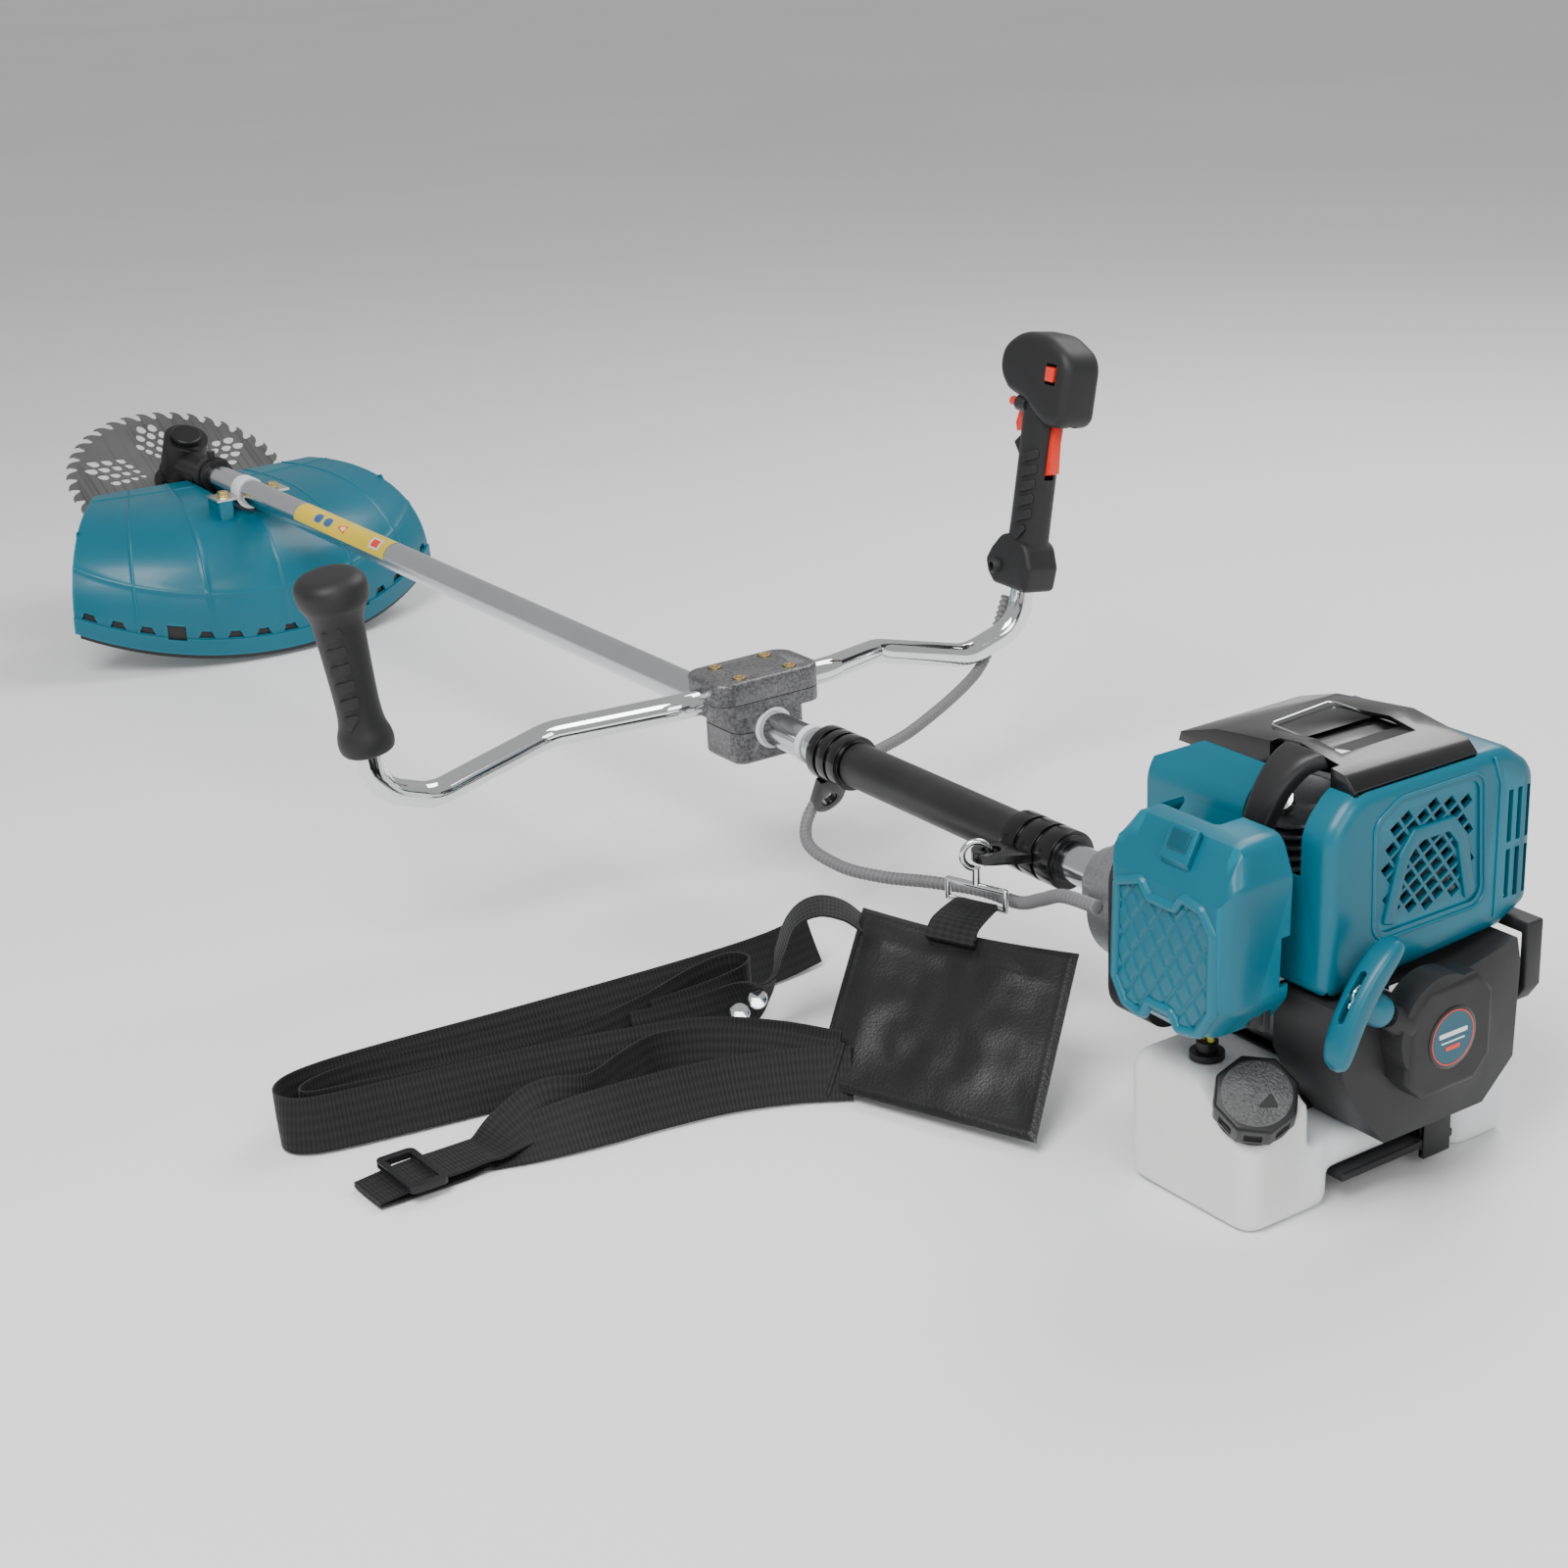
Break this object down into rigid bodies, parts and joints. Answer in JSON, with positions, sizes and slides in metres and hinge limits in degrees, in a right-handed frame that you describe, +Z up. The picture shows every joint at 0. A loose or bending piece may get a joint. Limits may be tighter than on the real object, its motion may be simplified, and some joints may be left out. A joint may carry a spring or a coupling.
{
  "type": "brush cutter",
  "caption": "Petrol brush cutter: long straight shaft with a toothed saw blade and a fan-shaped guard, bicycle handlebars, rear engine and a shoulder harness.",
  "frame": {"origin": "middle of the engine stand's foot, on the floor that the machine rests on", "axes": "+X along the machine from the engine towards the cutting head, +Y the operator's left, +Z up"},
  "size_m": [2.0192, 0.8986, 0.4027],
  "materials": {
    "teal_plastic": "glossy",
    "dark_plastic": "fine matte texture",
    "black_gloss": "polished",
    "red_plastic": "satin",
    "white_plastic": "translucent milky",
    "rubber": "smooth",
    "polished_aluminium": "drawn and polished",
    "engine_aluminium": "as cast",
    "hammered_grey": "hammered",
    "black_casting": "satin",
    "chrome": "mirror",
    "steel": "machined",
    "zinc_steel": "zinc plated",
    "blade_steel": "brushed",
    "hose_grey": "corrugated",
    "fuel_hose": "clear yellow",
    "leather": "grained",
    "webbing": "ribbed weave"
  },
  "bodies": {
    "frame": {"shaft_tube": "polished_aluminium", "shaft_bushes": "rubber", "shaft_sleeve": "rubber", "tube_collars": "white_plastic", "harness_loops": "black_gloss", "gear_case": "black_casting", "bearings": "steel", "guard": "teal_plastic", "guard_bracket": "zinc_steel", "guard_flap": "rubber", "bolts_and_screws": "zinc_steel", "handlebar_tube": "chrome", "handlebar_clamp": "hammered_grey", "left_grip": "dark_plastic", "right_grip_front": "dark_plastic", "right_grip_rear": "dark_plastic", "throttle_conduit": "hose_grey", "clutch_housing": "dark_plastic", "fan_housing": "dark_plastic", "crankcase": "engine_aluminium", "cylinder": "engine_aluminium", "spark_plug": "steel", "muffler": "engine_aluminium", "carburettor": "engine_aluminium", "air_filter_case": "dark_plastic", "engine_shroud": "teal_plastic", "top_cover": "black_gloss", "ignition": "dark_plastic", "starter_cover": "dark_plastic", "side_guard": "dark_plastic", "engine_base": "dark_plastic", "fuel_tank": "white_plastic", "fuel_lines": "fuel_hose"},
    "crank": {"crankshaft": "steel", "flywheel": "engine_aluminium", "clutch_shoes": "steel"},
    "cutter": {"saw_blade": "blade_steel", "spindle": "steel", "bevel_gear": "steel", "blade_fixings": "steel"},
    "drive": {"drive_shaft": "steel", "clutch_drum": "steel", "bevel_pinion": "steel"},
    "piston": {"piston": "engine_aluminium"},
    "trigger": {"throttle_trigger": "red_plastic"},
    "throttle_arm": {"throttle_arm": "engine_aluminium"},
    "lockout": {"throttle_lockout": "red_plastic"},
    "lock_button": {"lock_button": "red_plastic"},
    "stop_switch": {"stop_switch": "red_plastic"},
    "pull_handle": {"starter_handle": "teal_plastic", "starter_rope": "webbing"},
    "pulley": {"starter_pulley": "dark_plastic"},
    "tank_cap": {"tank_cap": "dark_plastic"},
    "choke": {"choke_lever": "dark_plastic"},
    "filter_cover": {"air_filter_cover": "teal_plastic"},
    "hook": {"snap_hook": "chrome"},
    "gate": {"hook_gate": "chrome"},
    "harness": {"hip_pad": "leather", "harness_webbing": "webbing"},
    "slider": {"strap_slider": "dark_plastic"}
  },
  "joints": [
    {"name": "blade_spin", "type": "hinge", "parent": "frame", "child": "cutter", "pos_m": [1.80566, 0, 0.14728], "axis": [-0.4903, 0, 0.8715], "continuous": true},
    {"name": "drive_spin", "type": "hinge", "parent": "frame", "child": "drive", "pos_m": [0.20152, 0, 0.13054], "axis": [0.9996, 0, 0.0273], "continuous": true},
    {"name": "crank_spin", "type": "hinge", "parent": "frame", "child": "crank", "pos_m": [0.10155, 0, 0.12782], "axis": [0.9996, 0, 0.0273], "continuous": true},
    {"name": "piston_stroke", "type": "slide", "parent": "frame", "child": "piston", "axis": [0.0273, 0, -0.9996], "range_m": [0, 0.034]},
    {"name": "throttle_trigger", "type": "hinge", "parent": "frame", "child": "trigger", "pos_m": [0.68357, -0.34177, 0.34581], "axis": [-0.0056, 0.9891, 0.1472], "range_deg": [0, 15], "stiffness_Nm_per_rad": 0.05},
    {"name": "throttle_arm", "type": "hinge", "parent": "frame", "child": "throttle_arm", "pos_m": [0.03181, 0.072, 0.19094], "axis": [0.9996, 0, 0.0273], "range_deg": [0, 50]},
    {"name": "lockout_lever", "type": "hinge", "parent": "frame", "child": "lockout", "pos_m": [0.65731, -0.33805, 0.31978], "axis": [0.0056, -0.9891, -0.1472], "range_deg": [0, 8], "stiffness_Nm_per_rad": 0.05},
    {"name": "lock_button", "type": "slide", "parent": "frame", "child": "lock_button", "axis": [-0.9988, 0.0016, -0.0483], "range_m": [0, 0.004], "stiffness_N_per_m": 150},
    {"name": "stop_switch", "type": "hinge", "parent": "frame", "child": "stop_switch", "pos_m": [0.64344, -0.33125, 0.36871], "axis": [0.9988, -0.0016, 0.0483], "range_deg": [-8, 8]},
    {"name": "starter_pull", "type": "slide", "parent": "frame", "child": "pull_handle", "axis": [-0.0154, 0.8258, 0.5637], "range_m": [0, 0.7]},
    {"name": "starter_pulley", "type": "hinge", "parent": "frame", "child": "pulley", "pos_m": [-0.08838, 0, 0.12264], "axis": [0.9996, 0, 0.0273], "range_deg": [0, 1545]},
    {"name": "tank_cap", "type": "hinge", "parent": "frame", "child": "tank_cap", "pos_m": [-0.03502, 0.0904, 0.07357], "axis": [-0.5201, 0.3994, 0.755], "range_deg": [0, 270]},
    {"name": "choke_lever", "type": "hinge", "parent": "frame", "child": "choke", "pos_m": [0.00477, 0.066, 0.15519], "axis": [-0.0273, 0, 0.9996], "range_deg": [0, 35]},
    {"name": "filter_cover_off", "type": "slide", "parent": "frame", "child": "filter_cover", "axis": [0, 1, 0], "range_m": [0, 0.06]},
    {"name": "hook_swing", "type": "hinge", "parent": "frame", "child": "hook", "pos_m": [0.28636, 0.04627, 0.13486], "axis": [0.8826, -0.4695, 0.0241], "range_deg": [-3, 8]},
    {"name": "hook_gate", "type": "hinge", "parent": "hook", "child": "gate", "pos_m": [0.28447, 0.04226, 0.12589], "axis": [0.8826, -0.4695, 0.0241], "range_deg": [0, 20], "stiffness_Nm_per_rad": 0.01},
    {"name": "hook_swivel", "type": "hinge", "parent": "hook", "child": "harness", "pos_m": [0.28685, 0.04627, 0.11686], "axis": [-0.0273, 0, 0.9996], "range_deg": [-5, 5]},
    {"name": "strap_slider", "type": "slide", "parent": "harness", "child": "slider", "axis": [0, 1, 0], "range_m": [-0.03, 0.03]}
  ],
  "couplings": [
    {"joint": "drive_spin", "follows": "blade_spin", "ratio": 1.3333},
    {"joint": "throttle_arm", "follows": "throttle_trigger", "ratio": 3.3333},
    {"joint": "starter_pulley", "follows": "starter_pull", "rad_per_m": 38.462}
  ]
}
